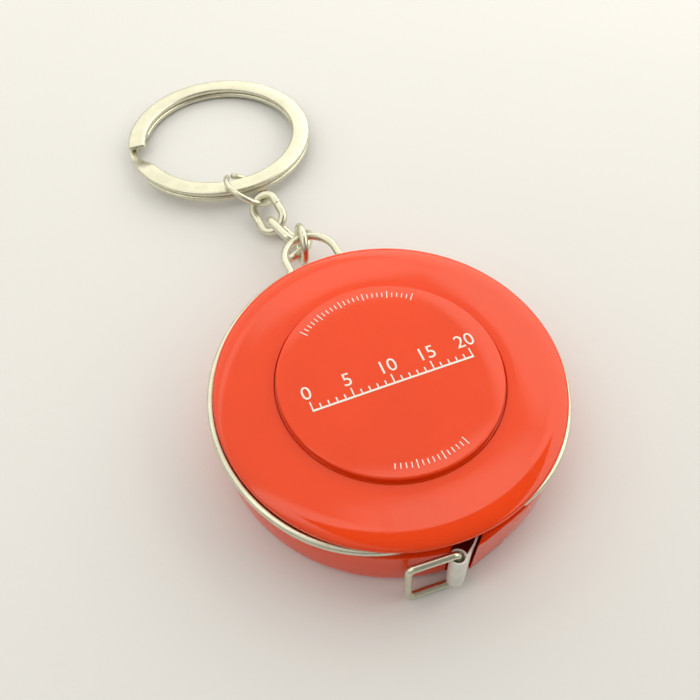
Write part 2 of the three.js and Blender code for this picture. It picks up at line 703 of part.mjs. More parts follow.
add('bottom_shell', bottomShell(), redGloss);
add('top_shell', topShell(), redGloss);
add('hoop_wire', hoopWire(), nickel);
add('push_button', pushButton(), redGloss);
add('brake_spider', brakeSpider(), redGloss);
for (let i = 0; i < PEG_COUNT; i += 1) {
  add(`brake_pad_${i + 1}`, turned(brakePad(), 0, 0, -360 * i / PEG_COUNT), rubber);
}
add('button_spring', buttonSpring(), springSteel);
add('spring_arbor', springArbor(), darkPlastic);
add('main_spring', mainSpring(), springSteel);
add('reel', reel(), whitePlastic);
add('tape_roll', tapeRoll(), tapeWhite);
add('tape_lead', tapeLead(), tapeWhite);

// Each link hangs on the one before at a point, and holds the next at another. Both are given from its
// middle, as shares of its size. Yaw turns it about Z, slope tips its long way and roll turns it about that.
let hold = new THREE.Vector3(
  BAIL_BOW_SHARE * BAIL_HALF - HOOP_SHIFT,
  BAIL_REACH + Math.sqrt(1 - BAIL_BOW_SHARE ** 2) * BAIL_HALF + HOOP_SHIFT / 2,
  HOOP_Z,
);

function addLink({ name, solid, size, hangShare, holdShare, yaw, slope, roll }) {
  const centre = new THREE.Vector3(...hangShare).multiplyScalar(-size).add(hold);
  const group = addGroup(...centre);
  group.rotation.set(rad(slope), rad(roll), rad(yaw), 'ZXY');
  add(name, solid, nickel, group);
  hold = new THREE.Vector3(...holdShare).multiplyScalar(size).add(centre);
}

const tapeTip = addGroup(loopPlace.x, loopPlace.y, HOOK_Z);
const leanAxis = atBearing(1, HOOK_BEARING);
tapeTip.quaternion.setFromAxisAngle(new THREE.Vector3(leanAxis.x, leanAxis.y, 0), rad(HOOK_LEAN));
add('tape_end', tapeEnd(), tapeWhite, tapeTip);
add('hook_ring', hookRing(), nickel, tapeTip);

// The chain lies as it fell: a ring on the bail, three links and a thin ring on the key ring.
const chain = [
  {
    name: 'jump_ring_bail', solid: bailRing(), size: BAIL_RING_R,
    hangShare: [0.146, 0.058, 0.463], holdShare: [0.159, 0.81, -0.563], yaw: -12.3, slope: 0, roll: 95.1,
  },
  {
    name: 'chain_link_1', solid: curbLink(), size: LINK_LENGTH,
    hangShare: [0.037, -0.019, 0.145], holdShare: [0.087, 0.346, -0.217], yaw: -26.7, slope: -24.8, roll: -33.5,
  },
  {
    name: 'chain_link_2', solid: curbLink(), size: LINK_LENGTH,
    hangShare: [0.086, -0.224, 0.003], holdShare: [-0.072, 0.414, -0.048], yaw: 13.5, slope: -1.2, roll: 55.7,
  },
  {
    name: 'chain_link_3', solid: curbLink(), size: LINK_LENGTH,
    hangShare: [0.025, -0.238, -0.038], holdShare: [0.024, 0.418, 0.058], yaw: 2.2, slope: 4.3, roll: -34,
  },
  {
    name: 'jump_ring_key', solid: keyJumpRing(), size: KEY_JUMP_R,
    hangShare: [0.332, -0.636, 0.03], holdShare: [0.541, 0.698, -0.47], yaw: 21.2, slope: 8.3, roll: 35,
  },
];
chain.forEach(addLink);

// The thin ring holds up the near side of the key ring, whose far side lies on the table.
const keyTilt = Math.asin(KEY_RING_LIFT / (2 * KEY_RING_R));
const [keyShareX, keyShareY] = KEY_RING_SHARES;
const keyGroup = addGroup(
  hold.x + keyShareX * KEY_RING_R, hold.y + keyShareY * KEY_RING_R, KEY_RING_LIFT / 2 + CLEAR / 10,
);
keyGroup.rotation.x = -keyTilt;
add('key_ring', turned(keyRing(), 0, 0, KEY_RING_END), nickel, keyGroup);

export default assembly;
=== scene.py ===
import json
import math

import bmesh
import bpy
from mathutils import Matrix, Vector


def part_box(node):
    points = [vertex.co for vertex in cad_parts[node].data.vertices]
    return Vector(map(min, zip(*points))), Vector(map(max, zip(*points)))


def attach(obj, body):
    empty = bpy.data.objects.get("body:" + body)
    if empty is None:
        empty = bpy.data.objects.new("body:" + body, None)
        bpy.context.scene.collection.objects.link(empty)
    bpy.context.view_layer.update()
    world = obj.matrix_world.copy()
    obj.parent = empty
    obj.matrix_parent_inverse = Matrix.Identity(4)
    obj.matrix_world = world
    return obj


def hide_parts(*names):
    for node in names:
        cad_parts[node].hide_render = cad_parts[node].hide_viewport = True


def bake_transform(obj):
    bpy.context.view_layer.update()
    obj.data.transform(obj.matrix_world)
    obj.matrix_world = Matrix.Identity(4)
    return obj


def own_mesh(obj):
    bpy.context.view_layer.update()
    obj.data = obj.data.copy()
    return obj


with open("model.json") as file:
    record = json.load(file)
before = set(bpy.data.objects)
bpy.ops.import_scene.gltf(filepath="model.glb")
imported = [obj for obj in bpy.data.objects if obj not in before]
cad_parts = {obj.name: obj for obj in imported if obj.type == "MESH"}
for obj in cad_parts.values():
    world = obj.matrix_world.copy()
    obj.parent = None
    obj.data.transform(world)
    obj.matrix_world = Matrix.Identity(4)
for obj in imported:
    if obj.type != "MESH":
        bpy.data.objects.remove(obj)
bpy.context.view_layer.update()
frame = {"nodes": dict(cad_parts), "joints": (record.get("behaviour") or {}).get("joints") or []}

# The object's sizes are in millimetres and every angle is in degrees. A shape is worked out in
# millimetres and made metres when it becomes a piece. A bearing is seen from above, clockwise from +Y.

MM = 0.001
MERGE = 0.002                 # points nearer than this are one
SHARP_ANGLE = 32              # an edge that turns by more stays sharp
UP = Vector((0, 0, 1))
ORIGIN = Vector((0, 0, 0))

# The case

CASE_R = 25
SHELL_WALL = 1.1
CASE_FLOOR = 1.1
BASE_ROUND = 1.6
LOWER_TOP_Z = 8.35
RING_Z = 11.45                # flat face of the cover, round the button
COVER_SET_IN = 0.1            # its edge from the lower shell's, all round
COVER_WALL = 1
CROWN = 0.12                  # fall of that face from the button to the shoulder
SHOULDER_W = 3.2
SHOULDER_LIP = 0.45
SKIRT_PLAY = 0.7              # between the cover's skirt and the lower shell's wall
SKIRT_WALL = 0.8
SKIRT_DEPTH = 1.2
EDGE_ROUND = 0.14
CASE_STEPS = 240
CORNER_STEPS = 8
FINE_CORNER_STEPS = 4         # where its small edges are rounded
SHOULDER_STEPS = 18
CROWN_SHARES = (0.25, 0.5, 0.75)          # from the button's hole to the shoulder

# The button

BUTTON_R = 15.95
BUTTON_RISE = 0.95
BUTTON_WALL = 1.1
BUTTON_SKIRT_WALL = 1.4
BUTTON_EDGE = 0.3
BUTTON_EDGE_STEPS = 6
BUTTON_DOME = 0.1
DOME_SHARES = (0, 0.2, 0.4, 0.6, 0.8)     # from its middle to its edge
BUTTON_LEDGE = 0.22           # a step round its foot, seen down the gap
BUTTON_LEDGE_DROP = 0.2       # below the cover's face
BUTTON_PLAY = 0.3
PRINT_LIFT = 0.012            # clear of the button's face
PRINT_THICK = 0.012

# The hoop wire and its bail

HOOP_WIRE = 1.25
HOOP_PLAY = 0.2
HOOP_STAND = 0.1
HOOP_SHIFT = 0.15             # it sits a little to the left and back
HOOP_END_R = 20.1             # bend by which its ends turn in under the cover
HOOP_LEFT_BEARING = 203       # ends of its round
HOOP_RIGHT_BEARING = 162
HOOP_LEFT_END = 36            # the last part of the round that is bent in
HOOP_RIGHT_END = 27
BAIL_HALF = 4.2               # half the bail's width, and the radius of its bow
BAIL_STAND = 2.24             # from the case's edge to where the bow begins
BAIL_FOOT_R = 1.3
HOOP_END_ROUND = 0.2

# The tape, its mouth and its pull ring

TAPE_W = 6.7
TAPE_T = 0.28
TAPE_LIFT = 0.2
ROLL_ROOM = 4                 # between the skirt and the roll
CLEAR = 0.3
MOUTH_BEARING = 181.6         # where the tape leaves the case
SPOUT_BEARING = 168           # where the straight spout leaves the round wall
SPOUT_FOOT = 0.5
SLOT_LIP = 0.55
SLOT_SHARES = (-0.24, 0.2)    # its reach inwards and outwards from the mouth, in the case's radius
LOOP_REACH = 2.65             # from the mouth to where the tape folds round the pull ring
LOOP_R = 1
LEAN_SHARE = 0.7              # of its reach, over which the tape comes to lean like the pull ring
HOOK_WIRE = 1.05
HOOK_LENGTH = 7.7
HOOK_HEIGHT = 8.9
HOOK_CORNER = 1.3
HOOK_BEARING = 277            # the way that the pull ring points
HOOK_LEAN = 6

# The chain and the key ring

LINK_WIRE = 1.5
LINK_LENGTH = 9.3
LINK_WIDTH = 6.2
BAIL_RING_WIRE = 1.3
BAIL_RING_R = 2.9
THIN_RING_WIRE = 1.06
THIN_RING_R = 4.32
THIN_RING_GAP = 24
THIN_RING_OPEN = 101          # direction of its gap
THIN_RING_HANG_SHARES = (0.332, -0.636, 0.03)     # from its middle to where it hangs, in its radius
KEY_RING_R = 17.46
KEY_RING_W = 3.25
KEY_RING_T = 1.05
KEY_RING_PLAY = 0.1
KEY_RING_END = 168            # direction of the upper turn's end
KEY_RING_STEP = 25            # turn over which the wire goes from the upper turn to the lower
KEY_RING_GAP = 3

# How finely wire and strip are made

WIRE_SIDES = 20
LINK_SIDES = 24
EDGE_STEPS = 3                # across each rounded edge
LINK_BEND = 6                 # on a bend, degrees from one ring of points to the next
HOOP_BEND = 2
BAIL_FOOT_BEND = 10
SMALL_BEND = 7.5              # the pull ring's corners and the tape's loop
RING_BEND = 5
FLAT_BEND = 3                 # the split ring and the tape on its roll

# Sizes that follow

CAVITY_R = CASE_R - SHELL_WALL
HOOP_R = CASE_R + HOOP_STAND
BAIL_REACH = CASE_R + BAIL_STAND
GROOVE = HOOP_WIRE + 2 * HOOP_PLAY
RIM_Z = LOWER_TOP_Z + GROOVE
HOOP_Z = LOWER_TOP_Z + GROOVE / 2
RING_UNDER_Z = RING_Z - COVER_WALL
SKIRT_R = CAVITY_R - SKIRT_PLAY
SKIRT_IN_R = SKIRT_R - SKIRT_WALL
SKIRT_Z = LOWER_TOP_Z - SKIRT_DEPTH
BUTTON_HOLE_R = BUTTON_R + BUTTON_PLAY
BUTTON_Z = RING_Z + BUTTON_RISE - PRINT_LIFT - PRINT_THICK
TAPE_MID_Z = CASE_FLOOR + TAPE_LIFT + TAPE_W / 2
LEAD_R = SKIRT_IN_R - ROLL_ROOM + CLEAR + TAPE_T / 2
SLOT_BACK = 2 * LOOP_R + TAPE_T / 2 + CLEAR
FLAT_REACH = LOOP_REACH - LOOP_R - TAPE_T     # flat part of the tape outside the mouth


# Places and directions

def at_bearing(radius, bearing, z=0.0):
    """A point round the case's axis, or with a radius of 1 a direction."""
    angle = math.radians(bearing)
    return Vector((radius * math.sin(angle), radius * math.cos(angle), z))


def joint(name):
    return next(each for each in frame["joints"] if each["name"] == name)


def joint_place(name):
    return Vector(joint(name)["pos_m"]) / MM


def node_middle(name):
    low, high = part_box(name)
    return (low + high) / 2 / MM


TANGENT_BEARING = MOUTH_BEARING - math.degrees(math.acos(LEAD_R / CASE_R))
TAPE_WAY = at_bearing(1, TANGENT_BEARING + 90)
TAPE_SIDE = at_bearing(1, TANGENT_BEARING + 180)
MOUTH = at_bearing(CASE_R, MOUTH_BEARING)


def along_tape(distance, side=0.0, z=0.0):
    """A point by its distance out of the mouth along the tape, and to the tape's side."""
    return MOUTH + TAPE_WAY * distance + TAPE_SIDE * side + UP * z


# Node trees

def set_socket(tree, socket, value):
    if isinstance(value, bpy.types.NodeSocket):
        tree.links.new(value, socket)
    else:
        socket.default_value = value


def set_inputs(tree, node, **inputs):
    """A node's inputs by their names, each a plain value or another node's output."""
    for name, value in inputs.items():
        set_socket(tree, node.inputs[name.replace("_", " ")], value)


def add_node(tree, kind, settings=None, **inputs):
    made = tree.nodes.new(kind)
    for name, value in (settings or {}).items():
        setattr(made, name, value)
    set_inputs(tree, made, **inputs)
    return made


def own_coordinates(tree, turn=(0, 0, 0), stretch=(1, 1, 1)):
    """The piece's own coordinates, turned and stretched for a pattern."""
    place = tree.nodes.new("ShaderNodeTexCoord").outputs["Object"]
    radians = [math.radians(angle) for angle in turn]
    mapping = add_node(tree, "ShaderNodeMapping", Vector=place, Rotation=radians, Scale=stretch)
    return mapping.outputs["Vector"]


def noise(tree, place, scale, detail=2.0, roughness=0.5):
    made = add_node(tree, "ShaderNodeTexNoise", Vector=place, Scale=scale,
                    Detail=detail, Roughness=roughness)
    return made.outputs["Fac"]


def ranged(tree, value, low, high, to_low=0.0, to_high=1.0):
    made = add_node(tree, "ShaderNodeMapRange", Value=value, From_Min=low, From_Max=high,
                    To_Min=to_low, To_Max=to_high)
    return made.outputs["Result"]


def calculated(tree, operation, *values):
    made = add_node(tree, "ShaderNodeMath", {"operation": operation})
    for socket, value in zip(made.inputs, values):
        set_socket(tree, socket, value)
    return made.outputs[0]


def mixed(tree, share, first, second):
    """Two colours mixed by a share, from all of the first to all of the second."""
    made = add_node(tree, "ShaderNodeMix", {"data_type": "RGBA"})
    sockets = [each for each in made.inputs if each.enabled]
    for socket, value in zip(sockets, (share, first, second)):
        set_socket(tree, socket, value)
    return next(each for each in made.outputs if each.enabled)


def relief(tree, height, depth, over=None):
    """Fine relief on a surface, by its depth, over the relief that it already has."""
    made = add_node(tree, "ShaderNodeBump", Height=height, Distance=depth * MM)
    if over is not None:
        tree.links.new(over, made.inputs["Normal"])
    return made.outputs["Normal"]


def tinted(colour, share=1.0):
    return (*[min(1.0, part * share) for part in colour], 1.0)


def clouded(tree, place, colour, darkest, palest, scale, detail=3.0):
    """A colour in soft clouds, from its darkest share to its palest."""
    cloud = ranged(tree, noise(tree, place, scale, detail), *NOISE_MIDDLE)
    return mixed(tree, cloud, tinted(colour, darkest), tinted(colour, palest))


def hairlines(tree, turn, count=900.0, length=26.0, least=0.66):
    """Thin straight scratches in one direction, here and there."""
    place = own_coordinates(tree, turn=turn, stretch=(count, length, length))
    line = ranged(tree, noise(tree, place, scale=1.0, detail=1.0), least, least + HAIRLINE_EDGE)
    patches = noise(tree, own_coordinates(tree, turn=turn), scale=160.0, detail=1.0)
    return calculated(tree, "MULTIPLY", line, ranged(tree, patches, *HAIRLINE_PATCHES))


def new_finish(name, **sockets):
    """A material with its one shader, whose plain numbers sit on the shader itself."""
    made = bpy.data.materials.new(name)
    made.use_nodes = True
    shader = made.node_tree.nodes["Principled BSDF"]
    set_inputs(made.node_tree, shader, **sockets)
    return made, made.node_tree, shader


# Finishes

RED = (0.88, 0.06, 0.003)
NICKEL = (0.71, 0.695, 0.55)
SPRING_STEEL = (0.50, 0.51, 0.53)
REEL_WHITE = (0.80, 0.79, 0.74)
DARK_PLASTIC = (0.035, 0.035, 0.038)
RUBBER = (0.02, 0.019, 0.017)
TAPE_WHITE = (0.87, 0.85, 0.79)
TAPE_INK = (0.02, 0.02, 0.02)
PRINT_WHITE = (0.88, 0.86, 0.80)
PRINT_THIN = (0.88, 0.62, 0.52)           # where the red under it shows through

# A noise's scale is the number of its grains in a metre.
NOISE_MIDDLE = (0.3, 0.7)                 # where nearly all of a noise lies
HAIRLINE_EDGE = 0.05
HAIRLINE_PATCHES = (0.45, 0.62)           # from where there are none to where all show
RED_SCRATCH_DULLS = 0.12                  # roughness that a scratch adds
NICKEL_SCRATCH_DULLS = 0.04
GRAIN_DULLS = (-0.07, 0.09)               # roughness that a plastic's grain takes or adds

# The tape's marks: from one to the next, a line's width, and how far it reaches in from the edge
TAPE_MARKS = ((1, 0.13, 1.7), (5, 0.16, 2.5), (10, 0.18, 3.6))
MARK_INSET = 0.15                         # bare tape along its edge, above the marks


def red_plastic():
    """Glossy moulded plastic: an even colour, a slightly wavy skin, rub marks and a few hairlines."""
    made, tree, shader = new_finish("case_red_gloss", Subsurface_Weight=0.3,
                                    Subsurface_Radius=(1.0, 0.2, 0.08), Subsurface_Scale=1.5 * MM)
    place = own_coordinates(tree)
    scratches = calculated(tree, "MAXIMUM", hairlines(tree, (0, 0, 24)), hairlines(tree, (0, 0, -51)))
    rubbed = ranged(tree, noise(tree, place, scale=210.0, detail=4.0, roughness=0.6),
                    0.35, 0.75, to_low=0.05, to_high=0.1)
    dulled = calculated(tree, "MULTIPLY", scratches, RED_SCRATCH_DULLS)
    wavy = relief(tree, noise(tree, place, scale=420.0), depth=0.004)
    grain = relief(tree, noise(tree, place, scale=5200.0), depth=0.0008, over=wavy)
    scored = relief(tree, calculated(tree, "SUBTRACT", 1.0, scratches), depth=0.0012, over=grain)
    set_inputs(tree, shader,
               Base_Color=clouded(tree, place, RED, 0.95, 1.05, scale=55.0, detail=2.0),
               Roughness=calculated(tree, "ADD", rubbed, dulled),
               Normal=scored)
    return made


def nickel_plate():
    """Warm nickel over drawn wire: cloudy plating, faint pits and short rub marks."""
    made, tree, shader = new_finish("nickel_plate", Metallic=1.0)
    place = own_coordinates(tree)
    scratches = calculated(tree, "MAXIMUM",
                           hairlines(tree, (0, 35, 12), count=1400.0, length=120.0, least=0.6),
                           hairlines(tree, (50, 0, -64), count=1500.0, length=130.0, least=0.6))
    cloudy = ranged(tree, noise(tree, place, scale=900.0, detail=3.0),
                    0.3, 0.75, to_low=0.25, to_high=0.36)
    dulled = calculated(tree, "MULTIPLY", scratches, NICKEL_SCRATCH_DULLS)
    set_inputs(tree, shader,
               Base_Color=clouded(tree, place, NICKEL, 0.93, 1.05, scale=420.0),
               Roughness=calculated(tree, "ADD", cloudy, dulled),
               Normal=relief(tree, noise(tree, place, scale=1700.0), depth=0.0018))
    return made


def steel_strip():
    """Blued spring steel with fine rolling lines along Z."""
    made, tree, shader = new_finish("spring_steel_strip", Metallic=1.0)
    lines = noise(tree, own_coordinates(tree, stretch=(1, 1, 14)), scale=240.0, detail=3.0)
    set_inputs(tree, shader,
               Base_Color=mixed(tree, lines, tinted(SPRING_STEEL, 0.8), tinted(SPRING_STEEL, 1.15)),
               Roughness=ranged(tree, lines, *NOISE_MIDDLE, to_low=0.28, to_high=0.42),
               Normal=relief(tree, lines, depth=0.006))
    return made


def moulded_plastic(name, colour, roughness, grain=1500.0):
    """Matt moulded plastic with a fine grain and a slightly uneven colour."""
    made, tree, shader = new_finish(name)
    place = own_coordinates(tree)
    skin = noise(tree, place, scale=grain, detail=3.0)
    smoothest, roughest = (roughness + dulls for dulls in GRAIN_DULLS)
    set_inputs(tree, shader,
               Base_Color=clouded(tree, place, colour, 0.9, 1.06, scale=130.0),
               Roughness=ranged(tree, skin, *NOISE_MIDDLE, to_low=smoothest, to_high=roughest),
               Normal=relief(tree, skin, depth=0.012))
    return made


def print_ink():
    """White pad-printed ink, a little thin in places."""
    made, tree, shader = new_finish("white_print_ink", Roughness=0.3)
    thin = ranged(tree, noise(tree, own_coordinates(tree), scale=2400.0, detail=3.0), 0.56, 0.74)
    set_inputs(tree, shader,
               Base_Color=mixed(tree, thin, tinted(PRINT_WHITE), tinted(PRINT_THIN)),
               Normal=relief(tree, thin, depth=0.003))
    return made


def every(tree, distance, step, line):
    """1 on a line at each step along a distance, and 0 between."""
    part = calculated(tree, "PINGPONG", distance, step / 2 * MM)
    return calculated(tree, "LESS_THAN", part, line / 2 * MM)


def tape_marks(tree, distance, depth):
    """1 on the tape's marks, by the distance along the tape and the depth below its upper edge."""
    marks = None
    for step, line, reach in TAPE_MARKS:
        beside_edge = calculated(tree, "COMPARE", depth, reach / 2 * MM, (reach / 2 - MARK_INSET) * MM)
        ruled = calculated(tree, "MULTIPLY", every(tree, distance, step, line), beside_edge)
        marks = ruled if marks is None else calculated(tree, "MAXIMUM", marks, ruled)
    return marks


def coated_tape():
    """White coated tape: a fine cloth under the coating, and black lines on the part that runs out."""
    made, tree, shader = new_finish("coated_tape")
    turn = math.degrees(math.atan2(TAPE_WAY.y, TAPE_WAY.x))
    along = own_coordinates(tree, turn=(0, 0, -turn))
    axes = add_node(tree, "ShaderNodeSeparateXYZ", Vector=along).outputs
    depth = calculated(tree, "SUBTRACT", (TAPE_MID_Z + TAPE_W / 2) * MM, axes["Z"])
    ruled_part = add_node(tree, "ShaderNodeAttribute", {"attribute_name": "ruled"}).outputs["Fac"]
    ink = calculated(tree, "MULTIPLY", tape_marks(tree, axes["X"], depth), ruled_part)
    worn = ranged(tree, noise(tree, own_coordinates(tree), scale=500.0, detail=4.0), 0.3, 0.75)
    ground = mixed(tree, worn, tinted(TAPE_WHITE), tinted(TAPE_WHITE, 0.86))
    cloth = noise(tree, own_coordinates(tree, stretch=(1, 1, 0.4)), scale=2600.0)
    set_inputs(tree, shader,
               Base_Color=mixed(tree, ink, ground, tinted(TAPE_INK)),
               Roughness=ranged(tree, worn, 0.0, 1.0, to_low=0.38, to_high=0.55),
               Normal=relief(tree, cloth, depth=0.01))
    return made


def wound_tape():
    """The edges of a hundred turns of tape, seen as fine rings."""
    made, tree, shader = new_finish("wound_tape", Roughness=0.55)
    rings = add_node(tree, "ShaderNodeTexWave", {"wave_type": "RINGS", "rings_direction": "Z"},
                     Vector=own_coordinates(tree), Scale=560.0, Distortion=0.4,
                     Detail=1.0).outputs["Fac"]
    set_inputs(tree, shader,
               Base_Color=mixed(tree, rings, tinted(TAPE_WHITE, 0.62), tinted(TAPE_WHITE)),
               Normal=relief(tree, rings, depth=0.03))
    return made


RED_PLASTIC = red_plastic()
NICKEL_PLATE = nickel_plate()
COATED_TAPE = coated_tape()
SPRING_STRIP = steel_strip()


# Shapes

def edges_of(geometry):
    return [each for each in geometry if isinstance(each, bmesh.types.BMEdge)]


def verts_of(geometry):
    return [each for each in geometry if isinstance(each, bmesh.types.BMVert)]


def piece(name, bm, finish, body, slot, *nodes):
    """A finished shape in millimetres becomes a piece that rides on its body in place of its nodes."""
    bmesh.ops.remove_doubles(bm, verts=bm.verts, dist=MERGE)
    bmesh.ops.recalc_face_normals(bm, faces=bm.faces)
    bmesh.ops.scale(bm, vec=(MM, MM, MM), verts=bm.verts)
    for face in bm.faces:
        face.smooth = True
    mesh = bpy.data.meshes.new(name)
    bm.to_mesh(mesh)
    bm.free()
    mesh.set_sharp_from_angle(angle=math.radians(SHARP_ANGLE))
    mesh.materials.append(finish)
    made = bpy.data.objects.new(name, mesh)
    bpy.context.scene.collection.objects.link(made)
    if nodes:
        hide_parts(*nodes)
    if body:
        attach(made, body)
    return made


def arc(middle_r, middle_z, reach_r, reach_z, start, end, steps=CORNER_STEPS):
    """Points of a round or oval corner in a profile."""
    angles = [math.radians(start + (end - start) * i / steps) for i in range(steps + 1)]
    return [(middle_r + reach_r * math.cos(a), middle_z + reach_z * math.sin(a)) for a in angles]


def turned(profile):
    """A closed outline of (radius, height) points, turned once about the case's axis."""
    bm = bmesh.new()
    verts = [bm.verts.new((radius, 0, z)) for radius, z in profile]
    edges = [bm.edges.new(pair) for pair in zip(verts, verts[1:] + verts[:1])]
    bmesh.ops.spin(bm, geom=verts + edges, cent=ORIGIN, axis=UP, angle=2 * math.pi,
                   steps=CASE_STEPS, use_merge=True, use_duplicate=False)
    bmesh.ops.remove_doubles(bm, verts=bm.verts, dist=MERGE)
    bmesh.ops.recalc_face_normals(bm, faces=bm.faces)
    return bm


def prism(outline, low, high):
    """An outline in plan, raised between two heights."""
    bm = bmesh.new()
    face = bm.faces.new([bm.verts.new((point.x, point.y, low)) for point in outline])
    raised = bmesh.ops.extrude_face_region(bm, geom=[face])["geom"]
    bmesh.ops.translate(bm, vec=UP * (high - low), verts=verts_of(raised))
    bmesh.ops.recalc_face_normals(bm, faces=bm.faces)
    return bm


def joined(first, second, operation):
    """One shape with a second added to it or cut from it."""
    objects = []
    for bm in (first, second):
        mesh = bpy.data.meshes.new("shape")
        bm.to_mesh(mesh)
        bm.free()
        objects.append(bpy.data.objects.new("shape", mesh))
        bpy.context.scene.collection.objects.link(objects[-1])
    modifier = objects[0].modifiers.new("join", "BOOLEAN")
    modifier.object = objects[1]
    modifier.operation = operation
    modifier.solver = "EXACT"
    result = bmesh.new()
    result.from_object(objects[0], bpy.context.evaluated_depsgraph_get())
    for each in objects:
        mesh = each.data
        bpy.data.objects.remove(each)
        bpy.data.meshes.remove(mesh)
    return result


def unit_square(bm, parts=1):
    """The points of a flat square with sides of 1 about the origin, in equal parts along X."""
    return bmesh.ops.create_grid(bm, x_segments=parts, y_segments=1, size=0.5)["verts"]


class Bender:
    """Wire or strip led through a bending tool on a flat table, from its first end to its last."""

    def __init__(self, place, way, diameter=None, strip=None, sides=WIRE_SIDES, edge=0.0):
        self.bm = bmesh.new()
        self.place = Vector(place)
        self.way = Vector(way).normalized()
        if diameter:
            bmesh.ops.create_circle(self.bm, cap_ends=True, radius=diameter / 2, segments=sides)
        else:
            verts = unit_square(self.bm)
            bmesh.ops.scale(self.bm, vec=(*strip, 1), verts=verts)
            bmesh.ops.bevel(self.bm, geom=verts, offset=edge, segments=EDGE_STEPS, profile=0.5,
                            affect="VERTICES", material=-1)
        across = self.way.cross(UP)
        turn = Matrix((across, UP, -self.way)).transposed().to_4x4()
        bmesh.ops.transform(self.bm, matrix=Matrix.Translation(self.place) @ turn, verts=self.bm.verts)
        self.first = self.bm.faces[:][0]
        self.end = list(self.bm.edges)

    def straight(self, length, steps=1):
        for _ in range(steps):
            grown = bmesh.ops.extrude_edge_only(self.bm, edges=self.end)["geom"]
            verts = set(verts_of(grown))
            bmesh.ops.translate(self.bm, vec=self.way * (length / steps), verts=list(verts))
            self.end = [edge for edge in edges_of(grown) if verts.issuperset(edge.verts)]
            self.place += self.way * (length / steps)
        return self

    def bend(self, radius, angle, step, rise=0.0):
        """Round by an angle, to the left if it is positive."""
        side = UP.cross(self.way) * math.copysign(1.0, angle)
        middle = self.place + side * radius
        steps = max(1, round(abs(angle) / step))
        spun = bmesh.ops.spin(self.bm, geom=self.end, cent=middle, axis=UP, angle=math.radians(angle),
                              dvec=UP * (rise / steps), steps=steps, use_duplicate=False)
        self.end = edges_of(spun["geom_last"])
        turn = Matrix.Rotation(math.radians(angle), 3, UP)
        self.place = middle + turn @ (self.place - middle) + UP * rise
        self.way = turn @ self.way
        return self

    def close(self):
        """The last end meets the first, as in a welded link."""
        bmesh.ops.delete(self.bm, geom=[self.first], context="FACES_ONLY")
        bmesh.ops.remove_doubles(self.bm, verts=self.bm.verts, dist=MERGE)
        return self.bm

    def cut(self, round_off):
        """Both ends are cut off square, with rounded edges."""
        last = bmesh.ops.edgeloop_fill(self.bm, edges=self.end)["faces"]
        rims = [edge for face in (self.first, *last) for edge in face.edges]
        bmesh.ops.recalc_face_normals(self.bm, faces=self.bm.faces)
        bmesh.ops.bevel(self.bm, geom=rims, offset=round_off, segments=EDGE_STEPS, profile=0.5,
                        affect="EDGES", material=-1)
        return self.bm


def placed(bm, middle, yaw, slope, roll):
    """A flat link turned about its long way, sloped, turned in plan and set in its place."""
    turn = (Matrix.Rotation(math.radians(yaw), 4, "Z")
            @ Matrix.Rotation(math.radians(slope), 4, "X")
            @ Matrix.Rotation(math.radians(roll), 4, "Y"))
    bmesh.ops.transform(bm, matrix=Matrix.Translation(middle) @ turn, verts=bm.verts)
    return bm


# Case

def slot_cutter(low, high):
    """A block along the tape, as wide as its slot in the case."""
    inside, outside = (CASE_R * share for share in SLOT_SHARES)
    return prism([along_tape(inside, -SLOT_LIP), along_tape(outside, -SLOT_LIP),
                  along_tape(outside, SLOT_BACK), along_tape(inside, SLOT_BACK)], low, high)


def case_bottom():
    """The lower shell: floor, wall and the straight spout beside the tape."""
    lip_r = CASE_R - EDGE_ROUND
    lip_z = LOWER_TOP_Z - EDGE_ROUND
    inner = BASE_ROUND / 2
    shell = turned([
        (0, 0),
        *arc(CASE_R - BASE_ROUND, BASE_ROUND, BASE_ROUND, BASE_ROUND, -90, 0),
        *arc(lip_r, lip_z, EDGE_ROUND, EDGE_ROUND, 0, 90, FINE_CORNER_STEPS),
        (CAVITY_R, LOWER_TOP_Z),
        *arc(CAVITY_R - inner, CASE_FLOOR + inner, inner, inner, 0, -90, FINE_CORNER_STEPS),
        (0, CASE_FLOOR),
    ])
    reach = CASE_R * math.tan(math.radians(MOUTH_BEARING - SPOUT_BEARING))
    start = at_bearing(CASE_R, SPOUT_BEARING)
    nose = start + at_bearing(1, SPOUT_BEARING + 90) * reach
    root = CAVITY_R + SHELL_WALL / 2
    spout = prism([at_bearing(root, SPOUT_BEARING), start, nose, at_bearing(root, MOUTH_BEARING)],
                  SPOUT_FOOT, LOWER_TOP_Z - EDGE_ROUND / 2)
    shell = joined(shell, spout, "UNION")
    shell = joined(shell, slot_cutter(CASE_FLOOR, RING_Z), "DIFFERENCE")
    piece("case_bottom", shell, RED_PLASTIC, "case", "case_red", "bottom_shell")


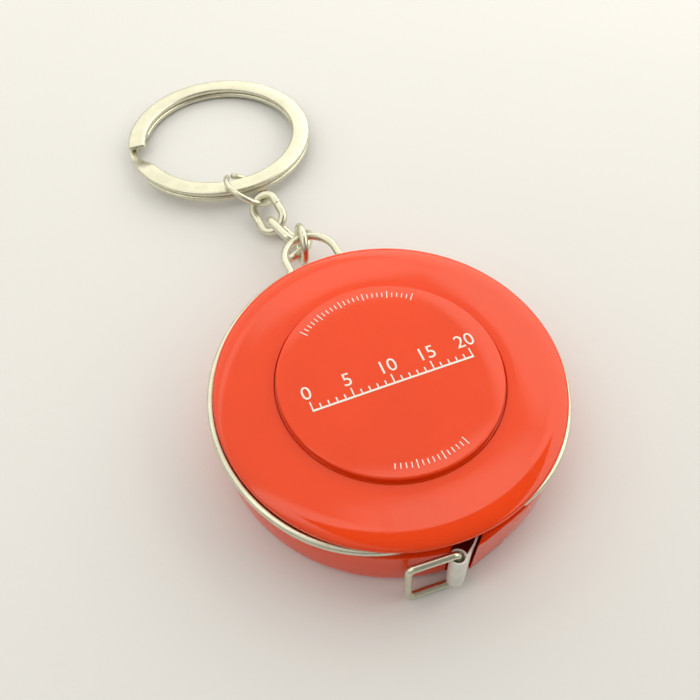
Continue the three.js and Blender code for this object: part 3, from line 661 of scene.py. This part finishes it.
def case_cover():
    """The cover: a faintly crowned ring, a rounded shoulder and the skirt behind the hoop's groove."""
    rim_r = CASE_R - COVER_SET_IN
    shoulder_r = rim_r - SHOULDER_W
    shoulder_z = RING_Z - CROWN
    lip_z = RIM_Z + SHOULDER_LIP
    face_r = BUTTON_HOLE_R + EDGE_ROUND
    width = shoulder_r - face_r
    crown = [(face_r + width * share, RING_Z - CROWN * share ** 2) for share in CROWN_SHARES]
    cover = turned([
        (BUTTON_HOLE_R, RING_UNDER_Z),
        *arc(face_r, RING_Z - EDGE_ROUND, EDGE_ROUND, EDGE_ROUND, 180, 90, FINE_CORNER_STEPS),
        *crown,
        *arc(shoulder_r, lip_z, SHOULDER_W, shoulder_z - lip_z, 90, 0, SHOULDER_STEPS),
        *arc(rim_r - EDGE_ROUND, RIM_Z + EDGE_ROUND, EDGE_ROUND, EDGE_ROUND, 0, -90, FINE_CORNER_STEPS),
        (SKIRT_R, RIM_Z),
        (SKIRT_R, SKIRT_Z),
        (SKIRT_IN_R, SKIRT_Z),
        (SKIRT_IN_R, RING_UNDER_Z),
    ])
    cover = joined(cover, slot_cutter(0, LOWER_TOP_Z), "DIFFERENCE")
    piece("case_cover", cover, RED_PLASTIC, "case", "case_red", "top_shell")


def dome_z(radius):
    """Height of the button's face, which falls a little to its edge."""
    return BUTTON_Z - BUTTON_DOME * (radius / BUTTON_R) ** 2


def brake_button():
    """The push button: a faintly domed cap with a ledge round its foot and a hollow underside."""
    edge_r = BUTTON_R - BUTTON_EDGE
    edge_z = dome_z(edge_r) - BUTTON_EDGE
    under_z = RING_Z + BUTTON_RISE - BUTTON_WALL
    ledge_r = BUTTON_R + BUTTON_LEDGE
    ledge_z = RING_Z - BUTTON_LEDGE_DROP
    hollow_r = BUTTON_R - BUTTON_SKIRT_WALL
    button = turned([
        *[(edge_r * share, dome_z(edge_r * share)) for share in DOME_SHARES],
        *arc(edge_r, edge_z, BUTTON_EDGE, BUTTON_EDGE, 90, 0, BUTTON_EDGE_STEPS),
        (BUTTON_R, ledge_z),
        (ledge_r, ledge_z),
        (ledge_r, RING_UNDER_Z),
        (hollow_r, RING_UNDER_Z),
        (hollow_r, under_z),
        (0, under_z),
    ])
    piece("brake_button", button, RED_PLASTIC, "button", "case_red", "push_button")


# Wire hoop, pull ring and chain

def wire_hoop():
    """The spring wire round the case, bent out at the back into the bail."""
    foot_x = BAIL_HALF + BAIL_FOOT_R
    foot_y = math.sqrt((HOOP_R + BAIL_FOOT_R) ** 2 - foot_x ** 2)
    foot = math.degrees(math.atan2(foot_y, foot_x))
    left = 90 - HOOP_LEFT_BEARING - HOOP_LEFT_END
    right = 90 - HOOP_RIGHT_BEARING + HOOP_RIGHT_END
    tighter = HOOP_R / HOOP_END_R
    start = left + HOOP_LEFT_END * tighter
    middle = at_bearing(HOOP_R - HOOP_END_R, 90 - left)
    shift = Vector((-HOOP_SHIFT, HOOP_SHIFT / 2, HOOP_Z))
    wire = Bender(middle + at_bearing(HOOP_END_R, 90 - start) + shift, at_bearing(1, 180 - start),
                  diameter=HOOP_WIRE)
    wire.bend(HOOP_END_R, -HOOP_LEFT_END * tighter, HOOP_BEND)
    wire.bend(HOOP_R, -(left + 180 + foot), HOOP_BEND)
    wire.bend(BAIL_FOOT_R, foot, BAIL_FOOT_BEND)
    wire.straight(BAIL_REACH - foot_y)
    wire.bend(BAIL_HALF, -180, LINK_BEND)
    wire.straight(BAIL_REACH - foot_y)
    wire.bend(BAIL_FOOT_R, foot, BAIL_FOOT_BEND)
    wire.bend(HOOP_R, -(foot - right), HOOP_BEND)
    wire.bend(HOOP_END_R, -HOOP_RIGHT_END * tighter, HOOP_BEND)
    hoop = wire.cut(HOOP_END_ROUND)
    piece("wire_hoop", hoop, NICKEL_PLATE, "case", "nickel_wire", "hoop_wire")


def pull_ring():
    """The rectangular wire ring in the tape's loop, built flat and stood up on its bar."""
    bend_r = HOOK_CORNER - HOOK_WIRE / 2
    half = (HOOK_HEIGHT - HOOK_WIRE) / 2
    length = HOOK_LENGTH - HOOK_WIRE
    wire = Bender((0, 0, 0), (0, 1, 0), diameter=HOOK_WIRE)
    wire.straight(half - bend_r).bend(bend_r, -90, SMALL_BEND)
    wire.straight(length - 2 * bend_r).bend(bend_r, -90, SMALL_BEND)
    wire.straight(2 * (half - bend_r)).bend(bend_r, -90, SMALL_BEND)
    wire.straight(length - 2 * bend_r).bend(bend_r, -90, SMALL_BEND)
    wire.straight(half - bend_r)
    ring = wire.close()
    along = at_bearing(1, HOOK_BEARING)
    upright = Matrix((along, UP, along.cross(UP))).transposed().to_4x4()
    lean = Matrix.Rotation(math.radians(HOOK_LEAN), 4, along)
    place = Matrix.Translation(joint_place("hook_swing"))
    bmesh.ops.transform(ring, matrix=place @ lean @ upright, verts=ring.verts)
    piece("pull_ring", ring, NICKEL_PLATE, "hook", "nickel_wire", "hook_ring")


LINK_SEAM = 0.05              # between a link's two ends
LINK_END_ROUND = 0.12
BAIL_RING_OPEN = -60          # direction of its seam

# How each ring and link lies: turned in plan, sloped, and rolled about its long way
BAIL_LOOP_LIES = (-12.3, 0, 95.1)
LINK_1_LIES = (-26.7, -24.8, -33.5)
LINK_2_LIES = (13.5, -1.2, 55.7)
LINK_3_LIES = (2.2, 4.3, -34)
THIN_LOOP_LIES = (21.2, 8.3, 35)


def curb_link():
    """An oval link of round wire whose ends meet in the middle of one side."""
    bow = (LINK_WIDTH - LINK_WIRE) / 2
    side = LINK_LENGTH - LINK_WIDTH
    wire = Bender((bow, LINK_SEAM / 2, 0), (0, 1, 0), diameter=LINK_WIRE, sides=LINK_SIDES)
    wire.straight((side - LINK_SEAM) / 2).bend(bow, 180, LINK_BEND)
    wire.straight(side).bend(bow, 180, LINK_BEND)
    wire.straight((side - LINK_SEAM) / 2)
    return wire.cut(LINK_END_ROUND)


def round_ring(radius, wire_size, gap, opening):
    """A ring of round wire, open by a gap that faces one direction in its plane."""
    start = 90 - opening - gap / 2
    wire = Bender(at_bearing(radius, start), at_bearing(1, start - 90), diameter=wire_size)
    wire.bend(radius, 360 - gap, RING_BEND)
    return wire.cut(LINK_END_ROUND)


def chain():
    """The small ring on the bail, the three links and the thin ring, each hung in the one before."""
    seam = math.degrees(LINK_SEAM / BAIL_RING_R)
    bail_loop = round_ring(BAIL_RING_R, BAIL_RING_WIRE, seam, BAIL_RING_OPEN)
    thin_loop = round_ring(THIN_RING_R, THIN_RING_WIRE, THIN_RING_GAP, THIN_RING_OPEN)
    thin_middle = joint_place("thin_ring_swing") - Vector(THIN_RING_HANG_SHARES) * THIN_RING_R
    parts = (
        ("bail_loop", bail_loop, "bail_ring", "jump_ring_bail", node_middle("jump_ring_bail"),
         BAIL_LOOP_LIES),
        ("curb_link_1", curb_link(), "link_1", "chain_link_1", node_middle("chain_link_1"), LINK_1_LIES),
        ("curb_link_2", curb_link(), "link_2", "chain_link_2", node_middle("chain_link_2"), LINK_2_LIES),
        ("curb_link_3", curb_link(), "link_3", "chain_link_3", node_middle("chain_link_3"), LINK_3_LIES),
        ("thin_loop", thin_loop, "thin_ring", "jump_ring_key", thin_middle, THIN_LOOP_LIES),
    )
    for name, shape, body, node, middle, lies in parts:
        piece(name, placed(shape, middle, *lies), NICKEL_PLATE, body, "nickel_wire", node)


KEY_RING_EDGE = 0.42
KEY_RING_END_ROUND = 0.4
KEY_RING_NARROW_SHARE = 0.55  # of its width that the wire loses where it passes under the upper end
KEY_RING_STEP_PARTS = 16
KEY_RING_WIDENS = 24          # turn over which it widens again, under the upper end


def step_down(wire, radius, turn, fall, width, new_width):
    """The wire sinks by a fall and changes its width on its inner side. Both ease in and out."""
    start_width = width
    fallen = 0.0
    for i in range(1, KEY_RING_STEP_PARTS + 1):
        share = i / KEY_RING_STEP_PARTS
        eased = share * share * (3 - 2 * share)
        wire.bend(radius, -turn / KEY_RING_STEP_PARTS, FLAT_BEND, rise=fall * (fallen - eased))
        across = wire.way.cross(UP)
        rim = wire.place - across * KEY_RING_W / 2
        next_width = start_width + (new_width - start_width) * eased
        pinch = (Matrix.Translation(rim) @ Matrix.Scale(next_width / width, 4, across)
                 @ Matrix.Translation(-rim))
        verts = list({vert for edge in wire.end for vert in edge.verts})
        bmesh.ops.transform(wire.bm, matrix=pinch, verts=verts)
        width = next_width
        fallen = eased
    return width


def split_ring():
    """Two turns of flat wire. The wire steps from the upper turn to the lower and is narrow there."""
    radius = KEY_RING_R - KEY_RING_W / 2
    turn = 360 - KEY_RING_STEP - KEY_RING_GAP
    rise = KEY_RING_T + KEY_RING_PLAY
    start = 90 - KEY_RING_END
    wire = Bender(at_bearing(radius, start, KEY_RING_T / 2 + rise), at_bearing(1, start + 90),
                  strip=(KEY_RING_W, KEY_RING_T), edge=KEY_RING_EDGE)
    wire.bend(radius, -turn, FLAT_BEND)
    narrow = 1 - KEY_RING_NARROW_SHARE
    width = step_down(wire, radius, KEY_RING_STEP, rise, 1, narrow)
    wire.bend(radius, -KEY_RING_GAP, FLAT_BEND)
    step_down(wire, radius, KEY_RING_WIDENS, 0, width, 1)
    wire.bend(radius, KEY_RING_WIDENS + KEY_RING_GAP - turn, FLAT_BEND)
    ring = wire.cut(KEY_RING_END_ROUND)
    axis = Vector(joint("key_ring_turn")["axis"])
    tilt = UP.rotation_difference(axis).to_matrix().to_4x4()
    place = Matrix.Translation(joint_place("key_ring_turn"))
    bmesh.ops.transform(ring, matrix=place @ tilt, verts=ring.verts)
    piece("split_ring", ring, NICKEL_PLATE, "key_ring", "nickel_wire", "key_ring")


# Tape

TAPE_WRAP = 300               # the turn that its last layer goes round the roll
TAPE_LOOP_TURN = 330
TAPE_EDGE = 0.06
TAPE_END_ROUND = 0.03
TAPE_IN_STEPS = 2             # along its straight part inside the case
TAPE_OUT_STEPS = 8            # and outside


def tape_layer():
    """The tape's last layer on the roll, up to where it leaves for the mouth."""
    start = TANGENT_BEARING - TAPE_WRAP
    strip = Bender(at_bearing(LEAD_R, start, TAPE_MID_Z), at_bearing(1, start + 90),
                   strip=(TAPE_T, TAPE_W), edge=TAPE_EDGE)
    strip.bend(LEAD_R, -TAPE_WRAP, FLAT_BEND)
    piece("tape_layer", strip.cut(TAPE_END_ROUND), COATED_TAPE, "case", "tape_white", "tape_lead")


def tape_strip():
    """The tape from the roll out through the mouth and back round the pull ring's bar."""
    touch = at_bearing(LEAD_R, TANGENT_BEARING, TAPE_MID_Z)
    strip = Bender(touch, TAPE_WAY, strip=(TAPE_T, TAPE_W), edge=TAPE_EDGE)
    strip.straight((along_tape(0, z=TAPE_MID_Z) - touch).dot(TAPE_WAY), TAPE_IN_STEPS)
    strip.straight(LOOP_REACH, TAPE_OUT_STEPS)
    strip.bend(LOOP_R, -TAPE_LOOP_TURN, SMALL_BEND)
    bm = strip.cut(TAPE_END_ROUND)

    # The loop stands in the pull ring and leans with it.
    pivot = joint_place("hook_swing")
    along = at_bearing(1, HOOK_BEARING)
    for vert in bm.verts:
        out = (vert.co - MOUTH).dot(TAPE_WAY)
        share = min(1.0, max(0.0, out / (LOOP_REACH * LEAN_SHARE)))
        lean = Matrix.Rotation(math.radians(HOOK_LEAN * share), 3, along)
        vert.co = pivot + lean @ (vert.co - pivot)
    made = piece("tape_strip", bm, COATED_TAPE, None, "tape_white", "tape_end")
    ruled = made.data.attributes.new("ruled", "FLOAT", "POINT")
    for vert, value in zip(made.data.vertices, ruled.data):
        out = (vert.co / MM - MOUTH).dot(TAPE_WAY)
        value.value = 1.0 if out < FLAT_REACH else 0.0
    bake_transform(made)


# Print on the button: a plain scale with ticks and numbers

PRINT_TURN = -3.8
SCALE_LENGTH = 24.0
SCALE_STEPS = 20
SCALE_STEP_PARTS = 5          # steps from one number or long tick to the next
SCALE_LINE = 0.3
SCALE_Y = -1.6
TICK_LINE = 0.2
LONG_TICK = 1.5
SHORT_TICK = 0.85
NUMBER_SIZE = 3.0
NUMBER_CURVE_STEPS = 4
NUMBER_RAISE = 1.35           # from a long tick's end to a number's middle
RIM_TICK_R = 14.1             # middle of the fine ticks near the button's edge
RIM_TICK_LINE = 0.14
RIM_LONG_TICK = 1.3
RIM_SHORT_TICK = 0.8
RIM_TICK_TURN = 3.0
RIM_TICK_ARCS = ((-39, 25), (159, 14))    # bearing of the first tick, and the steps after it


def bar(bm, middle, size, turn=0.0):
    """A flat printed bar, by its middle, size and angle in plan."""
    verts = unit_square(bm, max(1, round(size[0])))
    bmesh.ops.scale(bm, vec=(*size, 1), verts=verts)
    matrix = Matrix.Translation((*middle, 0)) @ Matrix.Rotation(math.radians(turn), 4, "Z")
    bmesh.ops.transform(bm, matrix=matrix, verts=verts)


def number(bm, digits, middle):
    """A printed number about its middle."""
    text = bpy.data.curves.new("number", "FONT")
    text.body = digits
    text.size = NUMBER_SIZE
    text.align_x = "CENTER"
    text.align_y = "CENTER"
    text.resolution_u = NUMBER_CURVE_STEPS
    carrier = bpy.data.objects.new("number", text)
    mesh = carrier.to_mesh().copy()
    carrier.to_mesh_clear()
    mesh.transform(Matrix.Translation((*middle, 0)))
    bm.from_mesh(mesh)
    bpy.data.objects.remove(carrier)
    bpy.data.curves.remove(text)
    bpy.data.meshes.remove(mesh)


def button_print():
    """A straight scale with numbers across the button, and two arcs of fine ticks near its edge."""
    bm = bmesh.new()
    bar(bm, (0, SCALE_Y), (SCALE_LENGTH + TICK_LINE, SCALE_LINE))
    for i in range(SCALE_STEPS + 1):
        x = SCALE_LENGTH * (i / SCALE_STEPS - 0.5)
        numbered = i % SCALE_STEP_PARTS == 0
        length = LONG_TICK if numbered else SHORT_TICK
        bar(bm, (x, SCALE_Y + length / 2), (TICK_LINE, length))
        if numbered:
            number(bm, str(i), (x, SCALE_Y + LONG_TICK + NUMBER_RAISE))
    for first, steps in RIM_TICK_ARCS:
        for i in range(steps + 1):
            bearing = first + RIM_TICK_TURN * i
            length = RIM_LONG_TICK if i % SCALE_STEP_PARTS == 0 else RIM_SHORT_TICK
            bar(bm, at_bearing(RIM_TICK_R, bearing).xy, (RIM_TICK_LINE, length), -bearing)
    turn = Matrix.Rotation(math.radians(PRINT_TURN), 4, "Z")
    bmesh.ops.transform(bm, matrix=turn, verts=bm.verts)
    grown = bmesh.ops.extrude_face_region(bm, geom=bm.faces[:])["geom"]
    bmesh.ops.translate(bm, vec=UP * PRINT_THICK, verts=verts_of(grown))
    for vert in bm.verts:
        vert.co.z += dome_z(vert.co.xy.length) + PRINT_LIFT
    piece("button_print", bm, print_ink(), "button", "white_plastic")


# Inside the case

def lift_spring():
    """The conical spring under the button, at its rest length."""
    bm = bmesh.new()
    bm.from_mesh(frame["nodes"]["button_spring"].data)
    bmesh.ops.scale(bm, vec=(1 / MM, 1 / MM, 1 / MM), verts=bm.verts)
    made = piece("lift_spring", bm, SPRING_STRIP, "case", "spring_steel", "button_spring")
    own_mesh(made)


def inner_finishes():
    """Materials of the inner pieces that keep their solids."""
    rubber = moulded_plastic("pad_rubber_matt", RUBBER, roughness=0.8, grain=900.0)
    finishes = {
        "brake_spider": RED_PLASTIC,
        "brake_pad_1": rubber,
        "brake_pad_2": rubber,
        "brake_pad_3": rubber,
        "spring_arbor": moulded_plastic("arbor_dark", DARK_PLASTIC, roughness=0.45),
        "main_spring": SPRING_STRIP,
        "reel": moulded_plastic("reel_white", REEL_WHITE, roughness=0.42),
        "tape_roll": wound_tape(),
    }
    for name, finish in finishes.items():
        materials = frame["nodes"][name].data.materials
        materials.clear()
        materials.append(finish)


# Floor, light and camera

# Lengths here are in metres, apart from the camera's place, which is in the object's millimetres.
FLOOR_R = 2.6
FLOOR_SIDES = 96
FLOOR_COLOUR = (0.77, 0.765, 0.765)
SKY_COLOUR = (1.0, 0.985, 0.95, 1.0)
SKY_LEVEL = 0.25

# The softbox is level above the table. It has a notch over the viewer, which shows on the cover's
# front shoulder, and a calm strip from left to right, which the button shows.
SOFTBOX_HEIGHT = 0.35
SOFTBOX_LEFT = -1.2
SOFTBOX_RIGHT = 1.6
SOFTBOX_FRONT = -0.5
SOFTBOX_BACK = 1.4
SOFTBOX_WATTS = 12.0
SOFTBOX_COLOUR = (1.0, 0.97, 0.87)
SOFTBOX_LEVELS = ((-0.08, 0.65), (0.03, 2.6), (0.075, 2.6), (0.11, 0.98), (0.263, 0.98), (0.3, 2.4),
                  (0.32, 2.4), (0.37, 1.35), (0.6, 1.5), (0.8, 1.8))    # from front to back
SOFTBOX_BRIGHTEST = 2.6
STRIP_ENDS = 0.165            # the calm strip fades out at its right, from here
STRIP_END_BRIGHT = 0.215      # to here
NOTCH_BACK = 0.04             # how far back the notch reaches
NOTCH_MIDDLE = 0.08
NOTCH_HALF = 0.18


def pale_floor():
    """A plain pale table top."""
    bm = bmesh.new()
    bmesh.ops.create_circle(bm, cap_ends=True, radius=FLOOR_R, segments=FLOOR_SIDES)
    mesh = bpy.data.meshes.new("floor")
    bm.to_mesh(mesh)
    bm.free()
    finish, tree, shader = new_finish("floor_pale", Roughness=0.55)
    place = own_coordinates(tree)
    set_inputs(tree, shader,
               Base_Color=clouded(tree, place, FLOOR_COLOUR, 0.985, 1.01, scale=9.0),
               Normal=relief(tree, noise(tree, place, scale=900.0, detail=3.0), depth=0.02))
    mesh.materials.append(finish)
    floor = bpy.data.objects.new("floor", mesh)
    bpy.context.scene.collection.objects.link(floor)


def studio_light():
    """A large level softbox above and behind, with a calm patch in it, in plain surroundings."""
    lamp = bpy.data.lights.new("key_softbox", "AREA")
    lamp.shape = "RECTANGLE"
    lamp.size = SOFTBOX_RIGHT - SOFTBOX_LEFT
    lamp.size_y = SOFTBOX_BACK - SOFTBOX_FRONT
    lamp.energy = SOFTBOX_WATTS
    lamp.color = SOFTBOX_COLOUR
    lamp.use_nodes = True
    tree = lamp.node_tree
    place = tree.nodes.new("ShaderNodeNewGeometry").outputs["Position"]
    axes = add_node(tree, "ShaderNodeSeparateXYZ", Vector=place).outputs
    depth_share = ranged(tree, axes["Y"], SOFTBOX_FRONT, SOFTBOX_BACK)
    ramp = add_node(tree, "ShaderNodeValToRGB", Fac=depth_share)
    ramp.color_ramp.interpolation = "EASE"
    stops = ramp.color_ramp.elements
    while len(stops) < len(SOFTBOX_LEVELS):
        stops.new(1.0)
    for stop, (depth, level) in zip(stops, SOFTBOX_LEVELS):
        stop.position = (depth - SOFTBOX_FRONT) / (SOFTBOX_BACK - SOFTBOX_FRONT)
        stop.color = (*[level / SOFTBOX_BRIGHTEST] * 3, 1.0)
    right = add_node(tree, "ShaderNodeMapRange", {"interpolation_type": "SMOOTHSTEP"}, Value=axes["X"],
                     From_Min=STRIP_ENDS, From_Max=STRIP_END_BRIGHT).outputs["Result"]
    level = calculated(tree, "MAXIMUM", ramp.outputs["Color"], right)
    aside = calculated(tree, "ABSOLUTE", calculated(tree, "SUBTRACT", axes["X"], NOTCH_MIDDLE))
    beside = calculated(tree, "GREATER_THAN", aside, NOTCH_HALF)
    behind = calculated(tree, "GREATER_THAN", axes["Y"], NOTCH_BACK)
    level = calculated(tree, "MULTIPLY", level, calculated(tree, "MAXIMUM", beside, behind))
    tree.links.new(calculated(tree, "MULTIPLY", level, SOFTBOX_BRIGHTEST),
                   tree.nodes["Emission"].inputs["Strength"])
    key = bpy.data.objects.new("key_softbox", lamp)
    key.location = ((SOFTBOX_LEFT + SOFTBOX_RIGHT) / 2, (SOFTBOX_FRONT + SOFTBOX_BACK) / 2,
                    SOFTBOX_HEIGHT)
    key.visible_camera = False
    bpy.context.scene.collection.objects.link(key)

    world = bpy.data.worlds.new("studio")
    world.use_nodes = True
    sky = world.node_tree.nodes["Background"]
    sky.inputs["Color"].default_value = SKY_COLOUR
    sky.inputs["Strength"].default_value = SKY_LEVEL
    bpy.context.scene.world = world
    bpy.context.scene.view_settings.view_transform = "Standard"


PHOTO_PX = 700
FOCAL_PX = 780
SENSOR = 36.0
CAMERA_NEAR = 0.004
CAMERA_FAR = 20.0
CAMERA_PLACE = (-30.24, -50.81, 103.33)
CAMERA_BEARING = 25.3         # the way that it looks
CAMERA_FALL = 55.34           # below level
CAMERA_ROLL = -0.2


def photo_camera():
    """A camera at the photo's angle, for a square picture."""
    lens = bpy.data.cameras.new("photo_camera")
    lens.sensor_width = SENSOR
    lens.lens = SENSOR * FOCAL_PX / PHOTO_PX
    lens.clip_start = CAMERA_NEAR
    lens.clip_end = CAMERA_FAR
    made = bpy.data.objects.new("photo_camera", lens)
    fall = math.radians(CAMERA_FALL)
    look = at_bearing(math.cos(fall), CAMERA_BEARING, -math.sin(fall))
    right = look.cross(UP).normalized()
    matrix = Matrix((right, right.cross(look), -look)).transposed().to_4x4()
    roll = Matrix.Rotation(math.radians(CAMERA_ROLL), 4, "Z")
    made.matrix_world = Matrix.Translation(Vector(CAMERA_PLACE) * MM) @ matrix @ roll
    bpy.context.scene.collection.objects.link(made)
    bpy.context.scene.camera = made


photo_camera()
studio_light()
pale_floor()
case_bottom()
case_cover()
brake_button()
button_print()
wire_hoop()
tape_layer()
tape_strip()
pull_ring()
chain()
split_ring()
lift_spring()
inner_finishes()
